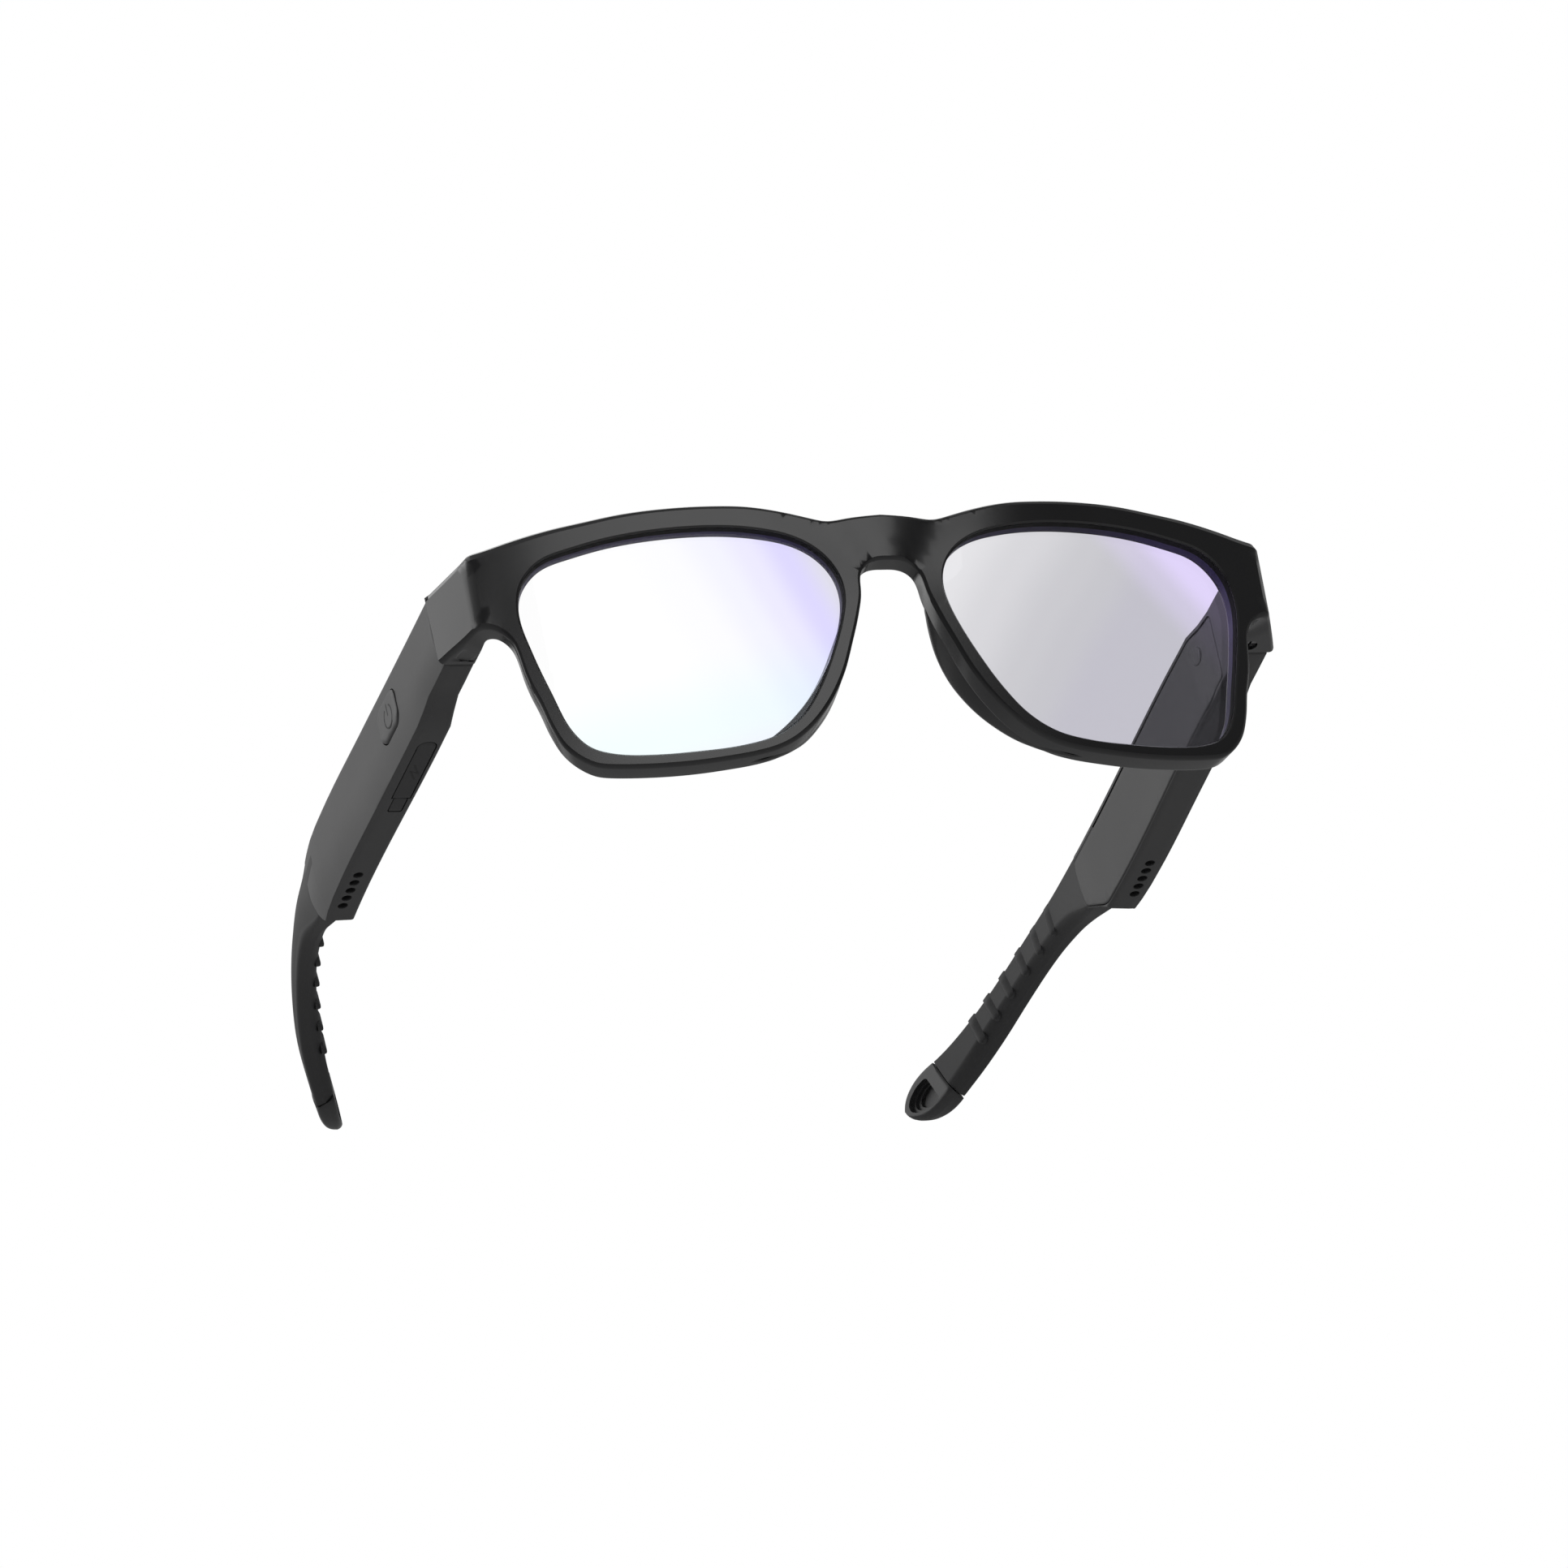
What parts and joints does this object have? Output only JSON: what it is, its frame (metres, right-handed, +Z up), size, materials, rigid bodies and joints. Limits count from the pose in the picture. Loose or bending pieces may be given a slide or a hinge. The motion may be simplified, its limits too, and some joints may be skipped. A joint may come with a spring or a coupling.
{
  "type": "smart glasses",
  "caption": "Smart glasses with a bent front, clear lenses, electronics casings in hinged temples, rubber ear tips, a power button and a flap over the charging port.",
  "frame": {"origin": "centre of the footprint on the table, between the rim bottoms and the ear tips on which the glasses stand", "axes": "+X towards the wearer's left, +Y from the front to the ear tips, +Z up"},
  "size_m": [0.1462, 0.1656, 0.0489],
  "materials": {
    "front_gloss": "satin gloss",
    "temple_shell": "satin",
    "tip_rubber": "matte",
    "button": "satin",
    "lens": "clear with a blue-violet coating",
    "hinge_steel": "brushed",
    "socket_steel": "bright",
    "mesh": "black mesh",
    "speaker": "matte",
    "battery_wrap": "foil",
    "board": "solder mask",
    "module_can": "tinned",
    "flex_film": "amber film"
  },
  "bodies": {
    "front": {"front_frame": "front_gloss", "left_lens": "lens", "right_lens": "lens", "front_flex_cable": "flex_film", "left_hinge_front_leaf": "hinge_steel", "left_front_leaf_screw": "hinge_steel", "left_hinge_screw": "hinge_steel", "right_hinge_front_leaf": "hinge_steel", "right_front_leaf_screw": "hinge_steel", "right_hinge_screw": "hinge_steel"},
    "left_temple": {"left_hinge_temple_leaf": "hinge_steel", "left_temple_leaf_screws": "hinge_steel", "left_inner_cover": "temple_shell", "left_case_screw": "hinge_steel", "left_screw_cap": "temple_shell", "left_speaker": "speaker", "left_speaker_mesh": "mesh", "left_tip_core": "hinge_steel", "left_tip_sleeve": "tip_rubber", "left_tip_cap": "tip_rubber", "left_temple_shell": "temple_shell", "left_battery": "battery_wrap"},
    "right_temple": {"right_hinge_temple_leaf": "hinge_steel", "right_temple_leaf_screws": "hinge_steel", "right_inner_cover": "temple_shell", "right_case_screw": "hinge_steel", "right_screw_cap": "temple_shell", "right_speaker": "speaker", "right_speaker_mesh": "mesh", "right_tip_core": "hinge_steel", "right_tip_sleeve": "tip_rubber", "right_tip_cap": "tip_rubber", "right_temple_shell": "temple_shell", "right_battery": "battery_wrap", "circuit_board": "board", "wireless_module": "module_can", "button_switch": "module_can", "charging_socket": "socket_steel", "microphone": "module_can", "flap_tether": "tip_rubber"},
    "power_button_body": {"power_button": "button"},
    "port_flap_body": {"port_flap": "tip_rubber"}
  },
  "joints": [
    {"name": "left_temple_fold", "type": "hinge", "parent": "front", "child": "left_temple", "pos_m": [0.06811, -0.05842, 0.03571], "axis": [0, 0.0581, 0.9983], "range_deg": [0, 85]},
    {"name": "right_temple_fold", "type": "hinge", "parent": "front", "child": "right_temple", "pos_m": [-0.06789, -0.05842, 0.03571], "axis": [0, -0.0581, -0.9983], "range_deg": [0, 66]},
    {"name": "power_button_press", "type": "slide", "parent": "right_temple", "child": "power_button_body", "axis": [1, 0, 0], "range_m": [0, 0.0004], "stiffness_N_per_m": 1200, "springref_m": -0.0002},
    {"name": "port_flap_swing", "type": "hinge", "parent": "right_temple", "child": "port_flap_body", "pos_m": [-0.06834, -0.01797, 0.02005], "axis": [1, 0, 0], "range_deg": [0, 95]}
  ]
}
